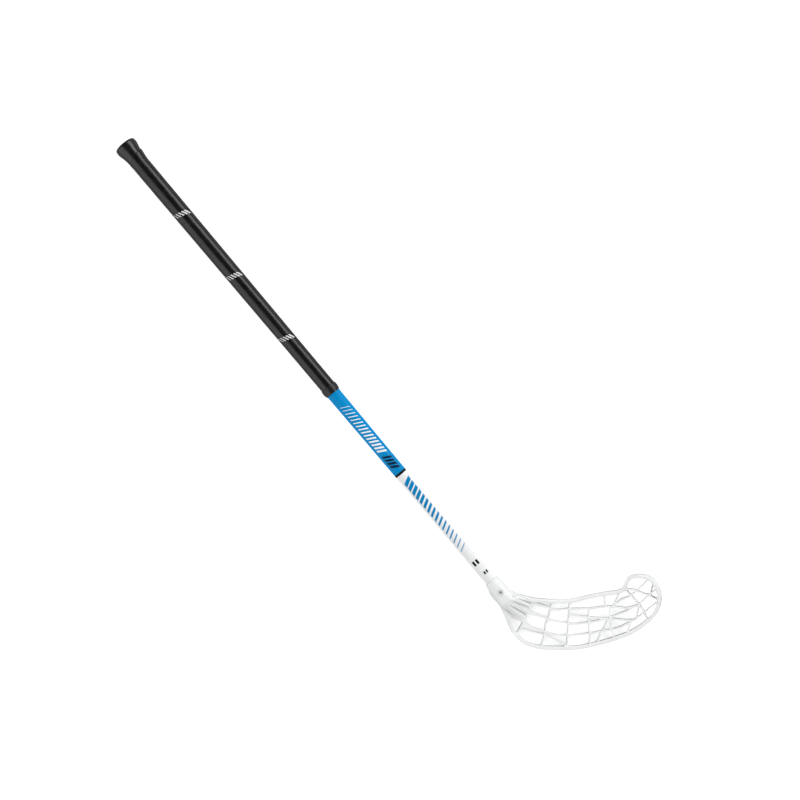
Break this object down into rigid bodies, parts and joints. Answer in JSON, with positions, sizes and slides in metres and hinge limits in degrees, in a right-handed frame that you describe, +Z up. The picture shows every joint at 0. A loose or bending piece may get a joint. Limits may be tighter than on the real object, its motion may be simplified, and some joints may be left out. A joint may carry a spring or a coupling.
{
  "type": "floorball stick",
  "caption": "Floorball stick with a tapered tube shaft, wound grip tape, flared end cap and a curled, open-ribbed plastic blade held by a screw.",
  "frame": {"origin": "middle of the butt face of the end cap, on the shaft's centre line", "axes": "+X along the shaft from the butt to the blade, +Y towards the toe of the blade, +Z up out of the blade's hollow face as the stick lies flat"},
  "size_m": [1.0888, 0.2236, 0.0374],
  "materials": {
    "shaft_lacquer": "clear-coated print over fibre composite, blue above and white below",
    "cap_plastic": "satin black moulded plastic",
    "grip_tape": "black cushioned polyurethane tape with a fine grain",
    "finishing_band": "black satin band",
    "blade_plastic": "white satin polyethylene",
    "screw_steel": "zinc-plated steel"
  },
  "bodies": {
    "root": {"shaft": "shaft_lacquer", "end_cap": "cap_plastic", "grip_tape": "grip_tape", "finishing_band": "finishing_band", "blade": "blade_plastic", "blade_screw": "screw_steel"}
  },
  "joints": []
}
